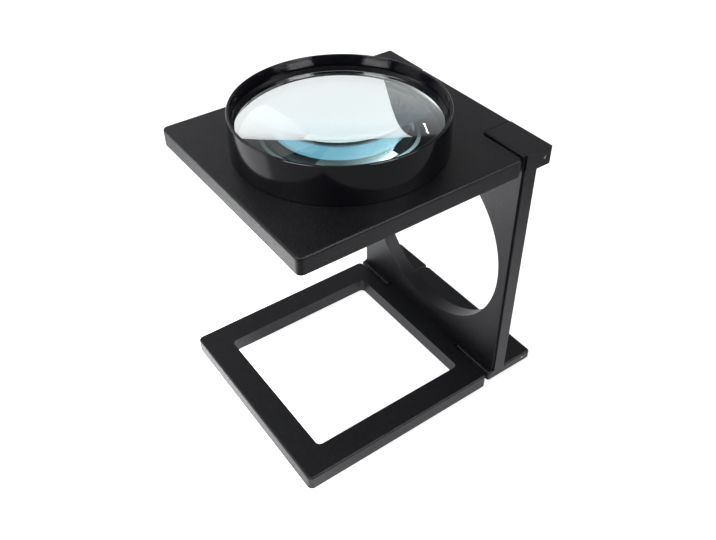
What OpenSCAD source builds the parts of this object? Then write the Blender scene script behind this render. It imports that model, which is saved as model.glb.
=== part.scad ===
// Folding table magnifier: a window frame to stand on, an upright panel with a round hole,
// and a lens plate that carries a glass lens in a tall ring. +Z is up and -Y is the open front.
// The lens plate folds up and over onto the back of the upright, with its ring in the round hole,
// and the base then folds over both, so the two hinge axes lie behind the upright.

/* [Lens] */
// Diameter of the glass lens
lens_d = 90; // [84:0.5:91]
// Radius of both spherical faces of the lens
lens_face_r = 190; // [170:1:260]
// Thickness of the lens at its rim
lens_edge_t = 5.3; // [4.6:0.1:5.7]

/* [Lens ring] */
// Height of the ring above the lens plate
ring_h = 17.7; // [15:0.1:18.5]
// Wall of the ring at its top
ring_wall = 1.25; // [1:0.05:1.8]
// Gap between the ring's bore and the lens, which the retaining ring's thread fills higher up
ring_bore_gap = 0.4; // [0.2:0.1:1]
// How much wider the ring is at its foot than at its top
ring_draft = 0.35; // [0.2:0.05:1]
// Height of the lens seat above the lens plate
seat_h = 4.8; // [4:0.1:5.2]
// Width of the shoulder that the lens sits on
seat_w = 1.4; // [1:0.1:2.2]
// Width of the ring's foot that rests on the lens plate
foot_step = 0.75; // [0.5:0.05:1]
// Wall of the spigot at its lower end, where the bore is widest
spigot_wall = 0.7; // [0.5:0.1:1.2]
// How far the spigot stays above the underside of the lens plate's skin
spigot_short = 0.1; // [0.1:0.1:0.8]
// Depth of the retaining ring below the top of the ring
retainer_depth = 4.9; // [3.5:0.1:6]
// Width of the retaining ring's top face
retainer_top_w = 1.1; // [0.6:0.1:1.4]
// Width of the retaining ring's lower face, which holds the lens down
retainer_low_w = 1.8; // [1.6:0.1:2.4]

/* [Plates] */
// Width of the three plates across the hinges
plate_w = 112; // [108:0.5:130]
// Thickness of the base frame
base_t = 7.9; // [7:0.1:9]
// Thickness of the upright panel
upright_t = 7.8; // [6.5:0.1:9]
// Thickness of the lens plate
lens_plate_t = 8; // [7.5:0.1:9]
// Corner radius of the plates, seen from above
corner_r = 2.6; // [2:0.1:4]
// Radius on the long edges of the plates
edge_r = 1.1; // [0.6:0.1:1.4]

/* [Base] */
// From the front edge of the base to the lower hinge axis
base_reach = 134.4; // [132:0.1:150]
// Width of the bars at the front and at both sides of the window
bar_w = 13.9; // [9:0.1:16]
// From the window's rear edge to the lower hinge axis
window_to_pin = 33.8; // [32:0.1:40]
// Corner radius of the window
window_r = 2.5; // [1:0.1:6]

/* [Upright] */
// Height of the upper hinge axis above the table
upper_pin_z = 133.8; // [132:0.1:145]
// Radius of the round hole that the lens ring passes through
hole_r = 50; // [49.6:0.1:51]
// Width of the two ears at the top
ear_w = 25; // [18:0.5:30]
// How far the ears stand above the lens plate's top face
ear_proud = 0.6; // [0:0.1:0.8]
// Width of the two feet at the bottom
foot_w = 26; // [18:0.5:30]
// Thickness of the feet
foot_t = 5.1; // [4.4:0.1:5.4]
// Height of the feet above the table
foot_lift = 2.8; // [2.4:0.1:3]
// How far the feet reach behind the lower hinge axis
foot_reach = 5.2; // [4:0.1:6]
// How far the feet reach in front of the upright
heel = 2.9; // [1:0.1:5]

/* [Lens plate] */
// From the front edge of the lens plate to the upper hinge axis
plate_reach = 122.8; // [116:0.1:124]
// From the lens centre to the upper hinge axis
lens_to_pin = 66.1; // [65.5:0.1:66.5]
// How far the lens plate reaches behind the upper hinge axis
plate_tail = 4.4; // [2.6:0.1:4.5]
// Radius of the round recess under the lens plate, which keeps it out of sight through the lens
view_r = 50.6; // [49.8:0.1:51]

/* [Hinges] */
// Radius of the steel hinge pins
pin_r = 1; // [0.8:0.1:1.2]
// Running clearance of the pins in the turning knuckles
pin_fit = 0.05; // [0.02:0.01:0.1]
// Clearance of the pins in the ears and feet that hold them
pin_seat = 0.01; // [0:0.01:0.03]
// Length of each pin inside its knuckle
pin_bite = 14; // [8:0.5:20]
// How far each pin's end lies below the side face
pin_sink = 0.3; // [0.1:0.1:1]
// Height of the lower hinge axis above the table
lower_pin_z = 4.9; // [4.6:0.1:5.2]
// How far the base reaches behind the lower hinge axis
base_tail = 5; // [3:0.1:6]
// Gap between the faces that fold onto each other
fold_gap = 0.4; // [0.3:0.1:0.8]
// Gap beside each ear and each foot
side_gap = 0.4; // [0.3:0.1:0.8]
// Gap in front of each ear and each foot
end_gap = 0.8; // [0.7:0.1:1.2]

/* [Moulding] */
// Thickness of the skin over the hollow moulded side of each plate
skin_t = 2.8; // [2:0.1:3.4]
// Thickness of the walls and ribs on the hollow side
rib_t = 2.2; // [1.6:0.1:3]
// Slant of the ribs in the corners round the holes
rib_angle = 45; // [40:1:50]
// Radius of the small dimple in the lens plate
mark_r = 0.7; // [0.4:0.1:1]
// Depth of the dimple
mark_depth = 0.4; // [0.2:0.1:1]
// Distance of the dimple to the right of the middle
mark_x = 40.3; // [36:0.5:46]
// Distance of the dimple behind the lens plate's front edge
mark_y = 28.8; // [20:0.5:34]

/* [Hidden] */
$fn = 96;
black = [0.07, 0.07, 0.08];
gloss_black = [0.03, 0.03, 0.035];
glass = [0.85, 0.93, 0.95, 0.5];
steel = [0.75, 0.76, 0.78];
over = 1;                                      // how far a cutter runs past the face it cuts
half_w = plate_w / 2;
half_t = lens_plate_t / 2;

// Along Y, the origin is the middle of the whole length
total_l = base_reach + foot_reach;
front_y = -total_l / 2;
lower_pin_y = front_y + base_reach;
rear_y = lower_pin_y + foot_reach;
// Folded, the lens plate lies on the upright and the base lies on the lens plate
folded_back = lower_pin_y - lower_pin_z - fold_gap;
upper_pin_y = folded_back - half_t;
upright_back = folded_back - lens_plate_t - fold_gap;
upright_front = upright_back - upright_t;

// Along Z
plate_low = upper_pin_z - half_t;
plate_top = upper_pin_z + half_t;
ear_top = plate_top + ear_proud;
foot_top = foot_lift + foot_t;

// Where the plates end
plate_front = upper_pin_y - plate_reach;
plate_notch = upright_front - end_gap;
base_notch = upright_front - heel - end_gap;
window_rear = lower_pin_y - window_to_pin;
window_w = plate_w - 2 * bar_w;
window_l = window_rear - front_y - bar_w;
ear_in = half_w - ear_w;                       // inner side of the ears
foot_in = half_w - foot_w;                     // inner side of the feet

// The lens and its ring share one axis
lens_y = upper_pin_y - lens_to_pin;
hole_z = upper_pin_z - lens_to_pin;
lens_r = lens_d / 2;
lens_sag = lens_face_r - sqrt(lens_face_r * lens_face_r - lens_r * lens_r);
function lens_bulge(r) = sqrt(lens_face_r * lens_face_r - r * r) - lens_face_r + lens_sag;
ring_bore = lens_r + ring_bore_gap;
ring_top_r = ring_bore + ring_wall;
ring_foot_r = ring_top_r + ring_draft;
seat_r = lens_r - seat_w;
lens_fit = 0.15;                               // radial play of the lens and of the spigot
plate_bore = ring_foot_r - foot_step;
spigot_r = plate_bore - lens_fit;
lens_gap = 0.05;                               // gap between the lens and what holds it
lens_mid = seat_h + lens_bulge(seat_r) + lens_gap + lens_edge_t / 2;
retainer_r = ring_bore - retainer_low_w;
retainer_low = lens_mid + lens_edge_t / 2 + lens_bulge(retainer_r) + lens_gap;
retainer_top = ring_h - retainer_depth;
rim_r = 0.45;                                  // rounding of the ring's top edge
tight_r = edge_r + 0.2;                        // corner radius of the ears, the feet and the knuckle

// Region outside a quarter round of radius r: x runs inwards from a side face, y down from a top face
module outside_round(r) {
    difference() {
        translate([-over, -r]) square([r + over, r + over]);
        translate([r, -r]) circle(r);
    }
}

// Cutter for one straight edge: it runs along +X, with the side face at y = 0 and the top face at z = 0
module edge_cut(length, r) {
    rotate([90, 0, 90]) linear_extrude(length) outside_round(r);
}

// Cutter for one outer corner of radius c, about the corner's own centre, from 180 to 270 degrees
module corner_cut(c, r) {
    rotate([0, 0, 180]) rotate_extrude(angle = 90)
        translate([c, 0]) mirror([1, 0]) outside_round(r);
}

// Cutters for the top edge of a w by l plate with corners of radius c, from its lower left corner
module rim_cut(w, l, c, r) {
    for (side = [[0, 0, 0, w], [w, 0, 90, l], [w, l, 180, w], [0, l, 270, l]])
        translate([side[0], side[1], 0]) rotate([0, 0, side[2]]) {
            translate([c, 0, 0]) edge_cut(side[3] - 2 * c, r);
            translate([c, c, 0]) corner_cut(c, r);
        }
}

// Outline of a w by l rectangle with corners of radius c, from its lower left corner
module round_rect(w, l, c) {
    translate([c, 0]) square([w - 2 * c, l]);
    translate([0, c]) square([w, l - 2 * c]);
    for (x = [c, w - c], y = [c, l - c]) translate([x, y]) circle(c);
}

// Slab of thickness t with round corners and a rounded upper edge
module slab(w, l, t, c, r) {
    difference() {
        linear_extrude(t) round_rect(w, l, c);
        translate([0, 0, t]) rim_cut(w, l, c, r);
    }
}

// The same solid on the left and on the right
module both_sides() {
    children();
    mirror([1, 0, 0]) children();
}

// Hole for a hinge pin from the right side face inwards, of radius r and with its inner end at x = from
module pin_hole(y, z, from, r) {
    translate([from, y, z]) rotate([0, 90, 0]) cylinder(h = half_w + over - from, r = r, $fn = 48);
}

// Pockets under the base bars, open at the bottom, with ribs left between them
pocket_h = base_t - skin_t;
side_pockets = 5;
front_pockets = 5;
module bar_pocket(x, y, w, l) {
    translate([x, y, -over]) cube([w, l, pocket_h + over]);
}
module base_pockets() {
    pocket_w = bar_w - 2 * rib_t;
    side_step = (window_l + rib_t) / side_pockets;
    front_step = (window_w + rib_t) / front_pockets;
    rail_w = base_notch - window_rear - 2 * rib_t;
    both_sides() for (i = [0 : side_pockets - 1])
        bar_pocket(window_w / 2 + rib_t, window_rear - (i + 1) * side_step + rib_t, pocket_w, side_step - rib_t);
    for (i = [0 : front_pockets - 1]) {
        x = i * front_step - window_w / 2;
        bar_pocket(x, front_y + rib_t, front_step - rib_t, pocket_w);
        bar_pocket(x, window_rear + rib_t, front_step - rib_t, rail_w);
    }
}

module base_frame() {
    knuckle_w = 2 * (foot_in - side_gap);
    knuckle_l = lower_pin_y + base_tail - window_rear - rib_t;
    color(black) difference() {
        union() {
            translate([-half_w, front_y, 0]) slab(plate_w, base_notch - front_y, base_t, corner_r, edge_r);
            translate([-knuckle_w / 2, window_rear + rib_t, 0])
                slab(knuckle_w, knuckle_l, base_t, corner_r, edge_r);
        }
        translate([-window_w / 2, front_y + bar_w, -over])
            linear_extrude(base_t + 2 * over) round_rect(window_w, window_l, window_r);
        base_pockets();
        both_sides() pin_hole(lower_pin_y, lower_pin_z, foot_in - side_gap - pin_bite, pin_r + pin_fit);
    }
}

// Side view of an ear, from the upright's front face to its rear end, with y across and z up
module ear_side() {
    ear_back = upper_pin_y + half_t;
    difference() {
        translate([upright_front, plate_low]) square([ear_back - upright_front, ear_top - plate_low]);
        translate([upright_front, ear_top]) outside_round(edge_r);
        translate([ear_back, ear_top]) mirror([1, 0]) outside_round(edge_r);
    }
}

// Right ear: its side view drawn along X, with the outer corners rounded as seen from above
module ear() {
    ear_l = upper_pin_y + half_t - upright_front;
    intersection() {
        translate([ear_in, 0, 0]) rotate([90, 0, 90]) linear_extrude(ear_w) ear_side();
        translate([ear_in, upright_front, plate_low - over])
            linear_extrude(ear_top - plate_low + 2 * over) {
                square([ear_w, ear_l - tight_r]);
                square([ear_w - tight_r, ear_l]);
                translate([ear_w - tight_r, ear_l - tight_r]) circle(tight_r);
            }
    }
}

// Outline of the hollow side's pockets on the right, in the corners round a hole of radius r at y = mid:
// each corner is split by a slanting rib, and by a straight rib at x = rib_x
module corner_pockets(low, high, mid, r, rib_x) {
    difference() {
        translate([0, low]) square([half_w - rib_t - edge_r, high - low]);
        translate([0, mid]) circle(r + rib_t, $fn = 180);
        for (a = [-rib_angle, rib_angle]) translate([0, mid]) rotate([0, 0, a])
            translate([0, -rib_t / 2]) square([plate_w, rib_t]);
        translate([rib_x, low - over]) square([rib_t, high - low + 2 * over]);
    }
}

module upright_panel() {
    color(black) difference() {
        union() {
            translate([-half_w, upright_front, base_t]) cube([plate_w, upright_t, plate_low - base_t]);
            both_sides() {
                ear();
                translate([ear_in, upright_front, plate_low - rib_t]) cube([ear_w, upright_t, 2 * rib_t]);
                translate([foot_in, upright_front, foot_lift]) cube([foot_w, upright_t, base_t]);
                translate([foot_in, upright_front - heel, foot_lift])
                    slab(foot_w, rear_y - upright_front + heel, foot_t, tight_r, edge_r);
            }
        }
        translate([0, upright_front - over, hole_z]) rotate([-90, 0, 0])
            cylinder(h = upright_t + 2 * over, r = hole_r, $fn = 180);
        both_sides() translate([0, upright_back + over, 0]) rotate([90, 0, 0])
            linear_extrude(upright_t - skin_t + over)
                corner_pockets(base_t + rib_t, plate_low - rib_t, hole_z, hole_r, foot_in - rib_t);
        both_sides() {
            pin_hole(lower_pin_y, lower_pin_z, foot_in - over, pin_r + pin_seat);
            pin_hole(upper_pin_y, upper_pin_z, ear_in - over, pin_r + pin_seat);
            translate([half_w, upright_front, foot_top]) rotate([0, -90, 0]) rotate([90, 0, 90])
                linear_extrude(ear_top - foot_top + over) outside_round(edge_r);
        }
    }
}

module lens_plate() {
    color(black) difference() {
        union() {
            translate([-half_w, plate_front, plate_low])
                slab(plate_w, plate_notch - plate_front, lens_plate_t, corner_r, edge_r);
            translate([side_gap - ear_in, lens_y, plate_low])
                slab(2 * (ear_in - side_gap), upper_pin_y + plate_tail - lens_y, lens_plate_t, tight_r, edge_r);
        }
        translate([0, lens_y, plate_low - over]) cylinder(h = lens_plate_t + 2 * over, r = plate_bore, $fn = 180);
        translate([0, lens_y, plate_low - over]) cylinder(h = lens_plate_t - skin_t + over, r = view_r, $fn = 180);
        both_sides() translate([0, 0, plate_low - over]) linear_extrude(lens_plate_t - skin_t + over)
            corner_pockets(plate_front + rib_t + edge_r, plate_notch - rib_t, lens_y, view_r, ear_in - rib_t);
        translate([mark_x, plate_front + mark_y, plate_top - mark_depth]) cylinder(h = mark_depth + over, r = mark_r);
        translate([ear_in, upper_pin_y + plate_tail, plate_low]) mirror([0, 0, 1]) rotate([0, 0, 180])
            edge_cut(2 * ear_in, edge_r);
        both_sides() pin_hole(upper_pin_y, upper_pin_z, ear_in - side_gap - pin_bite, pin_r + pin_fit);
    }
}

// Half section of the ring: a spigot in the lens plate, a shoulder for the lens and a tall rim
module lens_ring() {
    spigot_end = spigot_short - skin_t;
    color(gloss_black) translate([0, lens_y, plate_top]) rotate_extrude($fn = 180) difference() {
        polygon([[seat_r, 0], [spigot_r - spigot_wall, spigot_end], [spigot_r, spigot_end], [spigot_r, 0],
            [ring_foot_r, 0], [ring_top_r, ring_h], [seat_r, ring_h]]);
        translate([seat_r - over, seat_h]) square([over + lens_r + lens_fit - seat_r, ring_h]);
        translate([seat_r - over, retainer_low]) square([over + ring_bore - seat_r, ring_h]);
        translate([ring_top_r, ring_h]) mirror([1, 0]) outside_round(rim_r);
    }
}

// Ring that screws in above the lens, with a sloping inner face
module retaining_ring() {
    outer = ring_bore - lens_fit / 2;
    color(gloss_black) translate([0, lens_y, plate_top]) rotate_extrude($fn = 180)
        polygon([[retainer_r, retainer_low], [outer, retainer_low],
            [outer, retainer_top], [ring_bore - retainer_top_w, retainer_top]]);
}

// Glass lens with the same curve above and below
module magnifying_lens() {
    color(glass) translate([0, lens_y, plate_top + lens_mid]) rotate_extrude($fn = 180)
        intersection() {
            translate([0, -lens_sag - lens_edge_t]) square([lens_r, 2 * lens_sag + 2 * lens_edge_t]);
            translate([0, lens_sag + lens_edge_t / 2 - lens_face_r]) circle(lens_face_r, $fn = 1440);
            translate([0, lens_face_r - lens_sag - lens_edge_t / 2]) circle(lens_face_r, $fn = 1440);
        }
}

// Steel pin from just under the right side face into the knuckle
module hinge_pin(y, z, knuckle_end) {
    start = knuckle_end - pin_bite + pin_sink;
    color(steel) translate([start, y, z]) rotate([0, 90, 0])
        cylinder(h = half_w - pin_sink - start, r = pin_r, $fn = 48);
}
module base_hinge_pin_right() {
    hinge_pin(lower_pin_y, lower_pin_z, foot_in - side_gap);
}
module base_hinge_pin_left() {
    mirror([1, 0, 0]) base_hinge_pin_right();
}
module lens_hinge_pin_right() {
    hinge_pin(upper_pin_y, upper_pin_z, ear_in - side_gap);
}
module lens_hinge_pin_left() {
    mirror([1, 0, 0]) lens_hinge_pin_right();
}

base_frame();
upright_panel();
lens_plate();
lens_ring();
retaining_ring();
magnifying_lens();
base_hinge_pin_left();
base_hinge_pin_right();
lens_hinge_pin_left();
lens_hinge_pin_right();
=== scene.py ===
import bpy, bmesh, math
from mathutils import Matrix, Vector


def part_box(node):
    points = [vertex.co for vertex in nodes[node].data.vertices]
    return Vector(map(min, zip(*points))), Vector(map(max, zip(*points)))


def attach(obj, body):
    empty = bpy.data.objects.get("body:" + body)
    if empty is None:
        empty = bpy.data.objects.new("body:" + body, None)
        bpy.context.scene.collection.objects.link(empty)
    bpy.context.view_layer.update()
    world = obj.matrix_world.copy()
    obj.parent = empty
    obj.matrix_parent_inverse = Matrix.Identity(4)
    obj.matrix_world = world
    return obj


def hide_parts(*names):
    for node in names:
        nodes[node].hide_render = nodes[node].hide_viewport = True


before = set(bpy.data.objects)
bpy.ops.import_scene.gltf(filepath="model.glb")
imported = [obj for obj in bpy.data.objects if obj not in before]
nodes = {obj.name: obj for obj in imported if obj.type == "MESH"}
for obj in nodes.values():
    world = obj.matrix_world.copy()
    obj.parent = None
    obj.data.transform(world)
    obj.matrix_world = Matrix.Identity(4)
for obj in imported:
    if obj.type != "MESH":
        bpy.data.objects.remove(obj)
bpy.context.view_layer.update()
millimetre = 0.001
fullTurn = 2 * math.pi
print("stage: frame loaded")


# A wrapped socket: + - * / on it add Math nodes
class Wire:
    def __init__(self, tree, link):
        self.tree, self.link = tree, link

    def maths(self, operation, first, second=0.0):
        return Nodes(self.tree).add("ShaderNodeMath", {"operation": operation}, **{"0": first, "1": second})

    def __add__(self, other): return self.maths("ADD", self, other)
    def __radd__(self, other): return self.maths("ADD", other, self)
    def __sub__(self, other): return self.maths("SUBTRACT", self, other)
    def __rsub__(self, other): return self.maths("SUBTRACT", other, self)
    def __mul__(self, other): return self.maths("MULTIPLY", self, other)
    def __rmul__(self, other): return self.maths("MULTIPLY", other, self)
    def __truediv__(self, other): return self.maths("DIVIDE", self, other)
    def __rtruediv__(self, other): return self.maths("DIVIDE", other, self)
    def atMost(self, other): return self.maths("MINIMUM", self, other)
    def atLeast(self, other): return self.maths("MAXIMUM", self, other)
    def modulo(self, other): return self.maths("FLOORED_MODULO", self, other)
    def root(self): return self.maths("SQRT", self)
    def sine(self): return self.maths("SINE", self)
    def cosine(self): return self.maths("COSINE", self)
    def rounded(self): return self.maths("ROUND", self)
    def side(self): return self.maths("SIGN", self)
    def swing(self, amount): return (self - 0.5) * amount  # a noise, centred on its middle


# A node tree under construction: settings go in before the socket values
class Nodes:
    def __init__(self, tree):
        self.tree = tree

    def feed(self, socket, value):
        if isinstance(value, Wire):
            self.tree.links.new(value.link, socket)
        else:
            socket.default_value = value

    def add(self, kind, settings=None, output=0, **values):
        node = self.tree.nodes.new(kind)
        for key, value in (settings or {}).items():
            setattr(node, key, value)
        for key, value in values.items():
            self.feed(node.inputs[int(key) if key.isdigit() else key.replace("_", " ")], value)
        return Wire(self.tree, node.outputs[output])

    def part(self, vector, axis):
        return self.add("ShaderNodeSeparateXYZ", output=axis, Vector=vector)

    def vectors(self, operation, first, second, output="Vector"):
        return self.add("ShaderNodeVectorMath", {"operation": operation}, output,
                        **{"0": first, "1": second})

    # Colour mix: the Mix node takes its colours at sockets 6 and 7 and gives them out at 2
    def between(self, factor, first, second):
        first, second = (colour if isinstance(colour, Wire) else (*colour, 1) for colour in (first, second))
        return self.add("ShaderNodeMix", {"data_type": "RGBA"}, output=2,
                        **{"0": factor, "6": first, "7": second})

    # 1 below start, 0 past end
    def fade(self, value, start, end):
        return self.add("ShaderNodeMapRange", {"interpolation_type": "SMOOTHSTEP"}, Value=value,
                        From_Min=start, From_Max=end, To_Min=1.0, To_Max=0.0)


# A material under construction
class Finish(Nodes):
    def __init__(self, name):
        self.mat = bpy.data.materials.new(name)
        self.mat.use_nodes = True
        super().__init__(self.mat.node_tree)
        self.tree.nodes.clear()
        self.out = self.tree.nodes.new("ShaderNodeOutputMaterial")

    def noise(self, scale, detail, roughness, stretch=(1, 1, 1)):
        spot = self.add("ShaderNodeTexCoord", output="Object")
        spot = self.add("ShaderNodeMapping", Vector=spot, Scale=stretch)
        return self.add("ShaderNodeTexNoise", Vector=spot, Scale=scale, Detail=detail, Roughness=roughness)

    def bump(self, height, strength, depth):
        return self.add("ShaderNodeBump", Height=height, Strength=strength, Distance=depth)

    def surface(self, **values):
        shader = self.add("ShaderNodeBsdfPrincipled", **values)
        self.tree.links.new(shader.link, self.out.inputs["Surface"])
        return self.mat


def addObject(name, data):
    made = bpy.data.objects.new(name, data)
    bpy.context.scene.collection.objects.link(made)
    return made


# A turned piece under construction: a unit grid that is wrapped round the axis through Centre
class Growth(Nodes):
    def __init__(self, name, sizes):
        super().__init__(bpy.data.node_groups.new(name, "GeometryNodeTree"))
        self.given = []
        for label, kind, value in sizes:
            socket = self.tree.interface.new_socket(name=label, in_out="INPUT", socket_type=kind)
            self.given.append((socket.identifier, value))
        self.tree.interface.new_socket(name="Geometry", in_out="OUTPUT", socket_type="NodeSocketGeometry")
        self.entry = self.tree.nodes.new("NodeGroupInput")
        self.exit = self.tree.nodes.new("NodeGroupOutput")
        # the grid's x, from -0.5 to 0.5, is the turn, and its y the way along the outline
        self.here = self.add("GeometryNodeInputPosition")
        self.turn = (self.part(self.here, "X") + 0.5) * fullTurn
        self.along = self.part(self.here, "Y")

    def size(self, label):
        return Wire(self.tree, self.entry.outputs[label])

    # Lays the grid, closes it at its seam and poles, then gives it its material
    def wrap(self, radius, height, weld):
        ring = self.add("ShaderNodeCombineXYZ", X=radius * self.turn.cosine(), Y=radius * self.turn.sine(),
                        Z=height)
        place = self.vectors("ADD", ring, self.size("Centre"))
        shape = self.add("GeometryNodeMeshGrid", Size_X=1.0, Size_Y=1.0,
                         Vertices_X=self.size("Turns") + 1, Vertices_Y=self.size("Rows") + 1)
        shape = self.add("GeometryNodeSetPosition", Geometry=shape, Position=place)
        shape = self.add("GeometryNodeMergeByDistance", Geometry=shape, Distance=weld)
        shape = self.add("GeometryNodeSetShadeSmooth", Geometry=shape)
        shape = self.add("GeometryNodeRealizeInstances", Geometry=shape)
        shape = self.add("GeometryNodeSetMaterial", Geometry=shape, Material=self.size("Material"))
        self.tree.links.new(shape.link, self.exit.inputs["Geometry"])

    # Runs the tree once and keeps the result as a plain mesh
    def grow(self, name, sharpAngle):
        piece = addObject(name, bpy.data.meshes.new(name))
        modifier = piece.modifiers.new("grow", "NODES")
        modifier.node_group = self.tree
        for identifier, value in self.given:
            modifier[identifier] = value
        bpy.context.view_layer.update()
        depsgraph = bpy.context.evaluated_depsgraph_get()
        made = bpy.data.meshes.new_from_object(piece.evaluated_get(depsgraph), depsgraph=depsgraph)
        piece.modifiers.clear()
        piece.data = made
        shell = bmesh.new()
        shell.from_mesh(made)
        bmesh.ops.recalc_face_normals(shell, faces=shell.faces)
        shell.to_mesh(made)
        shell.free()
        made.set_sharp_from_angle(angle=math.radians(sharpAngle))
        return piece


# Gives CAD nodes a material and leaves their meshes alone
def dress(names, mat):
    for name in names:
        nodes[name].data.materials.clear()
        nodes[name].data.materials.append(mat)


# In every look below a noise is given as scale, detail, roughness and, where it has one, stretch

# Plates: matte moulded plastic with a fine spark-eroded grain
plateLook = {"dark": (0.0018, 0.0020, 0.0050), "light": (0.0160, 0.0166, 0.0225),
             "grain": (1250.0, 3.0, 0.7), "cloud": (42.0, 5.0, 0.62),
             "grainContrast": 2.8, "cloudContrast": 0.7,
             "roughness": 0.40, "grainRoughness": 0.34, "cloudRoughness": 0.12,
             "grainStrength": 0.8, "grainDepth": 0.00026, "index": 1.5, "gloss": 0.34}


def mouldedBlack(look):
    fin = Finish("mouldedBlackPlastic")
    grain = fin.noise(*look["grain"])
    cloud = fin.noise(*look["cloud"])
    speck = grain.swing(look["grainContrast"]) + cloud.swing(look["cloudContrast"]) + 0.5
    colour = fin.between(speck.atMost(1.0).atLeast(0.0), look["dark"], look["light"])
    rough = cloud.swing(look["cloudRoughness"]) + grain.swing(look["grainRoughness"]) + look["roughness"]
    return fin.surface(Base_Color=colour, Roughness=rough,
                       Normal=fin.bump(grain, look["grainStrength"], look["grainDepth"]),
                       IOR=look["index"], Specular_IOR_Level=look["gloss"])


dress(["base_frame", "upright_panel", "lens_plate"], mouldedBlack(plateLook))
print("stage: plates")

# Pins: turned steel, of which only the ends show
pinLook = {"dark": (0.62, 0.62, 0.64), "light": (0.80, 0.80, 0.82),
           "turned": (900.0, 2.0, 0.5, (0.05, 1, 1)), "roughness": 0.28, "turnedRoughness": 0.15}


def pinSteel(look):
    fin = Finish("pinSteel")
    turned = fin.noise(*look["turned"])
    return fin.surface(Base_Color=fin.between(turned, look["dark"], look["light"]), Metallic=1.0,
                       Roughness=turned.swing(look["turnedRoughness"]) + look["roughness"])


dress(["base_hinge_pin_left", "base_hinge_pin_right", "lens_hinge_pin_left", "lens_hinge_pin_right"],
      pinSteel(pinLook))
print("stage: pins")

# Rings: the same plastic, turned smooth and polished; sizes in mm, heights from the lens plate's top
ringLook = {"dark": (0.0080, 0.0082, 0.0135), "light": (0.0120, 0.0122, 0.0180),
            "flow": (60.0, 3.0, 0.5, (1, 1, 0.25)), "turned": (2400.0, 1.0, 0.5, (0.02, 0.02, 1)),
            "scuff": (420.0, 4.0, 0.75), "roughness": 0.13, "flowRoughness": 0.08, "scuffRoughness": 0.10,
            "flowShare": 0.8, "bumpStrength": 0.10, "bumpDepth": 0.0002, "index": 1.5, "gloss": 0.5}
ringSizes = {"footRadius": 47.0, "footChamfer": 0.3, "topRadius": 46.65, "height": 17.7,
             "rimRound": 0.45, "innerRound": 0.25, "bore": 45.4,
             "pocketTop": 10.87, "pocketStep": 0.2, "pocketRadius": 45.15,
             "seatHeight": 4.8, "seatRadius": 43.6, "seatChamfer": 0.15,
             "spigotInner": 45.4, "spigotRadius": 46.1, "spigotDepth": 2.7}
retainerSizes = {"outer": 45.325, "topInner": 44.3, "lowInner": 43.6, "low": 10.87, "top": 12.8,
                 "chamfer": 0.12, "grooves": 5, "grooveDepth": 0.035}
turnedSizes = {"turns": 240, "weld": 0.000005, "sharpAngle": 32}


def polishedBlack(look):
    fin = Finish("polishedBlackPlastic")
    flow = fin.noise(*look["flow"])
    turned = fin.noise(*look["turned"])
    scuff = fin.noise(*look["scuff"])
    rough = flow.swing(look["flowRoughness"]) + scuff.swing(look["scuffRoughness"]) + look["roughness"]
    waves = flow * look["flowShare"] + turned * (1 - look["flowShare"])
    return fin.surface(Base_Color=fin.between(scuff, look["dark"], look["light"]), Roughness=rough,
                       Normal=fin.bump(waves, look["bumpStrength"], look["bumpDepth"]),
                       IOR=look["index"], Specular_IOR_Level=look["gloss"])


# A ring's outline as loose points (radius, 0, height) in metres, for the turning tree to read
def outlinePoints(name, corners):
    data = bpy.data.meshes.new(name)
    data.from_pydata([(r * millimetre, 0, z * millimetre) for r, z in corners], [], [])
    return addObject(name, data)


# Quarter round from angle start to end, in degrees, about (r, z)
def quarter(r, z, size, start, end, steps=6):
    turns = [math.radians(start + (end - start) * k / steps) for k in range(steps + 1)]
    return [(r + size * math.cos(a), z + size * math.sin(a)) for a in turns]


# Turns a closed outline about the axis through centre
def turnedPiece(name, corners, centre, mat, sizes):
    outline = outlinePoints(name + "Outline", corners)
    tree = Growth(name + "Turning", [
        ("Outline", "NodeSocketObject", outline), ("Rows", "NodeSocketInt", len(corners)),
        ("Turns", "NodeSocketInt", sizes["turns"]), ("Centre", "NodeSocketVector", centre),
        ("Material", "NodeSocketMaterial", mat)])
    row = ((tree.along + 0.5) * tree.size("Rows")).rounded().modulo(tree.size("Rows"))
    points = tree.add("GeometryNodeObjectInfo", output="Geometry", Object=tree.size("Outline"))
    point = tree.add("GeometryNodeSampleIndex", {"data_type": "FLOAT_VECTOR", "domain": "POINT"},
                     Geometry=points, Value=tree.here, Index=row)
    tree.wrap(tree.part(point, "X"), tree.part(point, "Z"), sizes["weld"])
    piece = tree.grow(name, sizes["sharpAngle"])
    bpy.data.objects.remove(outline)
    return piece


def ringOutline(s):
    rim, inner = s["rimRound"], s["innerRound"]
    return ([(s["footRadius"] - s["footChamfer"], 0), (s["footRadius"], s["footChamfer"])]
            + quarter(s["topRadius"] - rim, s["height"] - rim, rim, 0, 90)
            + quarter(s["bore"] + inner, s["height"] - inner, inner, 90, 180)
            + [(s["bore"], s["pocketTop"] + s["pocketStep"]), (s["pocketRadius"], s["pocketTop"]),
               (s["pocketRadius"], s["seatHeight"]), (s["seatRadius"] + s["seatChamfer"], s["seatHeight"]),
               (s["seatRadius"], s["seatHeight"] - s["seatChamfer"]), (s["seatRadius"], 0),
               (s["spigotInner"], -s["spigotDepth"]), (s["spigotRadius"], -s["spigotDepth"]),
               (s["spigotRadius"], 0)])


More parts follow.
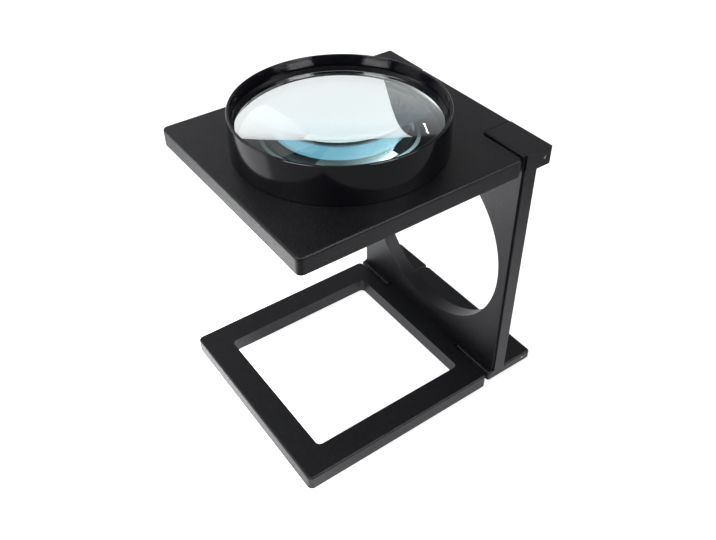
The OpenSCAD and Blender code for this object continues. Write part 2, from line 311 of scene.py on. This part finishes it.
# The inner face slopes inwards to its foot and carries fine turned grooves
def retainerOutline(s):
    high, low, steps = s["top"] - s["chamfer"], s["low"], s["grooves"] * 2
    face = []
    for k in range(steps + 1):
        share = k / steps
        dip = s["grooveDepth"] if k % 2 else 0
        face.append((s["topInner"] + (s["lowInner"] - s["topInner"]) * share + dip,
                     high + (low - high) * share))
    return ([(s["outer"], low), (s["outer"], high), (s["outer"] - s["chamfer"], s["top"]),
             (s["topInner"] + s["chamfer"], s["top"])] + face + [(s["lowInner"], low)])


ringBlack = polishedBlack(ringLook)
ringLow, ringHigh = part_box("lens_ring")
plateTop = ringHigh[2] - ringSizes["height"] * millimetre
ringCentre = ((ringLow[0] + ringHigh[0]) / 2, (ringLow[1] + ringHigh[1]) / 2, plateTop)
for name, node, corners in (("turnedLensRing", "lens_ring", ringOutline(ringSizes)),
                            ("turnedRetainingRing", "retaining_ring", retainerOutline(retainerSizes))):
    piece = turnedPiece(name, corners, ringCentre, ringBlack, turnedSizes)
    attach(piece, "lens_carrier")
    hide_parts(node)
print("stage: rings")

# Lens: clear and slightly tinted, between two equal spherical faces; sizes in metres
lensLook = {"tint": (0.84, 0.85, 0.845), "index": 1.49,
            "insideTint": (0.45, 0.85, 0.90), "insideDensity": 10.0,
            "smear": (55.0, 3.0, 0.6), "bumpStrength": 0.02, "bumpDepth": 0.0001}
lensSizes = {"faceRadius": 0.190, "edge": 0.0053, "edgeShare": 0.1, "rows": 80, "turns": 200,
             "weld": 0.00002, "sharpAngle": 40}


def lensGlass(look):
    fin = Finish("lensGlass")
    inside = fin.add("ShaderNodeVolumeAbsorption", Color=(*look["insideTint"], 1),
                     Density=look["insideDensity"])
    fin.tree.links.new(inside.link, fin.out.inputs["Volume"])
    return fin.surface(Base_Color=(*look["tint"], 1), Roughness=0.0, IOR=look["index"],
                       Transmission_Weight=1.0,
                       Normal=fin.bump(fin.noise(*look["smear"]), look["bumpStrength"], look["bumpDepth"]))


# Lays a sheet over both faces and the rim by the sphere's own rule
def turnedLens(name, sizes, radius, centre, mat):
    tree = Growth("lensTurning", [
        ("Face Radius", "NodeSocketFloat", sizes["faceRadius"]), ("Lens Radius", "NodeSocketFloat", radius),
        ("Edge", "NodeSocketFloat", sizes["edge"]), ("Rows", "NodeSocketInt", sizes["rows"]),
        ("Turns", "NodeSocketInt", sizes["turns"]), ("Centre", "NodeSocketVector", centre),
        ("Material", "NodeSocketMaterial", mat)])
    face, rim, along = tree.size("Face Radius"), tree.size("Lens Radius"), tree.along
    faceShare = 0.5 - sizes["edgeShare"] / 2
    share = ((along + 0.5).atMost(0.5 - along) / faceShare).atMost(1.0)
    radiusHere = share * rim
    bulge = (face * face - radiusHere * radiusHere).root() - (face * face - rim * rim).root()
    edgeRun = (along * (2 / sizes["edgeShare"])).atMost(1.0).atLeast(-1.0)
    height = along.side() * bulge + edgeRun * tree.size("Edge") * 0.5
    tree.wrap(radiusHere, height, sizes["weld"])
    return tree.grow(name, sizes["sharpAngle"])


lensLow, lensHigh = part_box("magnifying_lens")
lensRadius = (lensHigh[0] - lensLow[0]) / 2
lensCentre = tuple((lensLow[k] + lensHigh[k]) / 2 for k in range(3))
clearLens = turnedLens("clearLens", lensSizes, lensRadius, lensCentre, lensGlass(lensLook))
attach(clearLens, "lens_carrier")
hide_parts("magnifying_lens")
print("stage: lens")

# Floor: pale paper with a painted glow near the part and two painted pools of light at the left, the front
# pool fading out towards the rear as painted shade of the part
floorLook = {"halfSize": 30.0, "colour": (0.92, 0.92, 0.92), "roughness": 0.9,
             "peakGlow": 4.1, "paperGlow": 0.90, "farGlow": 0.02,
             "edges": ((0.811, -0.585, 0.108, 0.145), (0.814, 0.581, 0.180, 0.225)),
             "poolCentre": (-0.085, -0.095, 0.0), "poolReach": (0.02, 0.20), "poolRear": (-0.070, -0.030),
             "poolShare": 0.8, "sideCentre": (-0.140, -0.020, 0.0), "sideReach": (0.03, 0.10)}

# World: light horizon, dark ceiling and a brighter window at the rear left
worldLook = {"horizon": (0.9, 0.9, 0.9), "horizonTop": (0.10, 0.24), "ceiling": (0.095, 0.097, 0.105),
             "windowTint": (0.30, 0.58, 0.72), "windowGrey": (0.30, 0.30, 0.31),
             "windowTop": (0.56, 0.66), "windowAim": (-0.817, 0.577), "windowReach": (0.50, 0.70),
             "strength": 1.0}

# Painted shade: a black card low at the left, which only the rays that come through the lens meet; it casts
# no shadow and only darkens the floor seen through the lens
shadeSheetLook = {"low": (-0.40, -0.20), "high": (-0.185, -0.020), "height": 0.004,
            "colour": (0.02, 0.02, 0.02), "roughness": 0.9}


def levelCard(name, low, high, height, mat):
    (left, front), (right, rear) = low, high
    data = bpy.data.meshes.new(name)
    data.from_pydata([(left, front, height), (right, front, height), (right, rear, height),
                      (left, rear, height)], [], [(0, 1, 2, 3)])
    data.materials.append(mat)
    return addObject(name, data)


# Painted light: the floor's emission carries a glow and two pools that stand in for lamplight falling on it
def paperWithPaintedLight(look):
    fin = Finish("palePaper")
    spot = fin.add("ShaderNodeTexCoord", output="Object")
    x, y = fin.part(spot, "X"), fin.part(spot, "Y")
    paper = look["paperGlow"] - look["farGlow"]
    # an edge is a direction over the floor and where along it the glow starts and ends fading
    for across, along, start, end in look["edges"]:
        paper = fin.fade(x * across + y * along, start, end) * paper
    away, aside = (fin.vectors("DISTANCE", spot, look[centre], "Value")
                   for centre in ("poolCentre", "sideCentre"))
    # painted pools of light; the front pool's fade in y is painted shade where the part stands over the
    # floor
    pool = fin.fade(away, *look["poolReach"]) * fin.fade(y, *look["poolRear"]) * look["poolShare"]
    pool = pool.atLeast(fin.fade(aside, *look["sideReach"])) * (look["peakGlow"] - look["paperGlow"])
    glow = (paper + pool + look["farGlow"]) / look["peakGlow"]
    return fin.surface(Base_Color=(*look["colour"], 1), Roughness=look["roughness"], Specular_IOR_Level=0.0,
                       Emission_Color=fin.between(glow, (0, 0, 0), (1, 1, 1)),
                       Emission_Strength=look["peakGlow"])


def makeFloor(look):
    half = look["halfSize"]
    floor = levelCard("paleFloor", (-half, -half), (half, half), 0, paperWithPaintedLight(look))


def makeWorld(look):
    world = bpy.data.worlds.new("studio")
    world.use_nodes = True
    sky = Nodes(world.node_tree)
    direction = sky.add("ShaderNodeTexCoord", output="Generated")
    x, y, rise = (sky.part(direction, axis) for axis in "XYZ")
    aimX, aimY = look["windowAim"]
    aside = 1 - sky.fade(x * aimX + y * aimY, *look["windowReach"])  # cosines from where it ends to full
    window = sky.fade(rise, *look["windowTop"]) * aside
    # only what shines through the lens takes the window's blue
    through = sky.add("ShaderNodeLightPath", output="Is Transmission Ray")
    shade = sky.between(through, look["windowGrey"], look["windowTint"])
    shade = sky.between(window, look["ceiling"], shade)
    shade = sky.between(sky.fade(rise, *look["horizonTop"]), shade, look["horizon"])
    background = world.node_tree.nodes["Background"]
    sky.feed(background.inputs["Color"], shade)
    background.inputs["Strength"].default_value = look["strength"]
    bpy.context.scene.world = world


def makeShadeSheet(look):
    mat = Finish("blackFlag").surface(Base_Color=(*look["colour"], 1), Roughness=look["roughness"])
    darkSheet = levelCard("blackFlag", look["low"], look["high"], look["height"], mat)
    # hidden from camera, lighting and shadow, so it shows only as painted shade through the lens
    darkSheet.visible_camera = darkSheet.visible_diffuse = darkSheet.visible_glossy = darkSheet.visible_shadow = False


# Lamps: those that don't light matte surfaces only show as reflections; roll is in degrees
softBoxes = {
    "frontLeftBox": {"place": (-0.55, -0.75, 0.75), "aim": (-0.12, -0.20, 0.0), "size": (0.5, 0.5),
                     "power": 2.5, "lightsMatte": True},
    "leftBox": {"place": (-0.95, 0.05, 0.80), "aim": (0.0, 0.0, 0.1), "size": (0.6, 0.6),
                "power": 1.0, "lightsMatte": True},
    "topBox": {"place": (-0.1, -0.1, 1.3), "aim": (0.0, 0.0, 0.0), "size": (0.8, 0.8),
               "power": 1.5, "lightsMatte": True},
    "backRightStrip": {"place": (0.80, 0.62, 0.85), "aim": (0.0, 0.0, 0.08), "size": (0.35, 0.35),
                       "power": 3.0, "lightsMatte": False},
    "rightStrip": {"place": (0.824, 0.221, 0.98), "aim": (0.0, 0.0, 0.15), "size": (0.46, 0.20),
                   "power": 10.0, "lightsMatte": False},
    "frontStrip": {"place": (0.119, -0.844, 0.98), "aim": (0.0, 0.0, 0.15), "size": (0.46, 0.20),
                   "power": 10.0, "lightsMatte": False},
    "glintLamp": {"place": (-0.460, 0.701, 0.683), "aim": (0.028, 0.013, 0.15), "size": (0.008, 0.085),
                  "power": 0.06, "lightsMatte": False, "roll": 32}}


def softBox(name, place, aim, size, power, lightsMatte, roll=0):
    data = bpy.data.lights.new(name, "AREA")
    data.shape, data.size, data.size_y, data.energy = "RECTANGLE", size[0], size[1], power
    lamp = addObject(name, data)
    lamp.location = place
    facing = (Vector(aim) - Vector(place)).to_track_quat("-Z", "Y").to_matrix()
    lamp.rotation_euler = (facing @ Matrix.Rotation(math.radians(roll), 3, "Z")).to_euler()
    lamp.visible_camera = lamp.visible_transmission = False
    lamp.visible_diffuse = lightsMatte


makeFloor(floorLook)
makeWorld(worldLook)
makeShadeSheet(shadeSheetLook)
for name, settings in softBoxes.items():
    softBox(name, **settings)
bpy.context.scene.view_settings.view_transform = "Standard"
print("stage: room and lights")

# Camera, found by fitting the part's edges to the photograph's
viewpoint = {"place": (0.24059, -0.17210, 0.31543), "right": (0.581431, 0.813567, -0.006802),
             "up": (-0.528536, 0.384058, 0.757067), "focalPixels": 789.29, "imageWidth": 716,
             "sensorWidth": 36.0, "nearest": 0.01, "farthest": 100}


def makeCamera(look):
    data = bpy.data.cameras.new("photoView")
    data.sensor_fit, data.sensor_width = "HORIZONTAL", look["sensorWidth"]
    data.lens = look["focalPixels"] * look["sensorWidth"] / look["imageWidth"]
    data.clip_start, data.clip_end = look["nearest"], look["farthest"]
    camera = addObject("photoView", data)
    right = Vector(look["right"]).normalized()
    up = Vector(look["up"])
    up = (up - right * up.dot(right)).normalized()
    turn = Matrix((right, up, right.cross(up))).transposed().to_4x4()
    camera.matrix_world = Matrix.Translation(look["place"]) @ turn
    bpy.context.scene.camera = camera


makeCamera(viewpoint)
print("stage: camera")
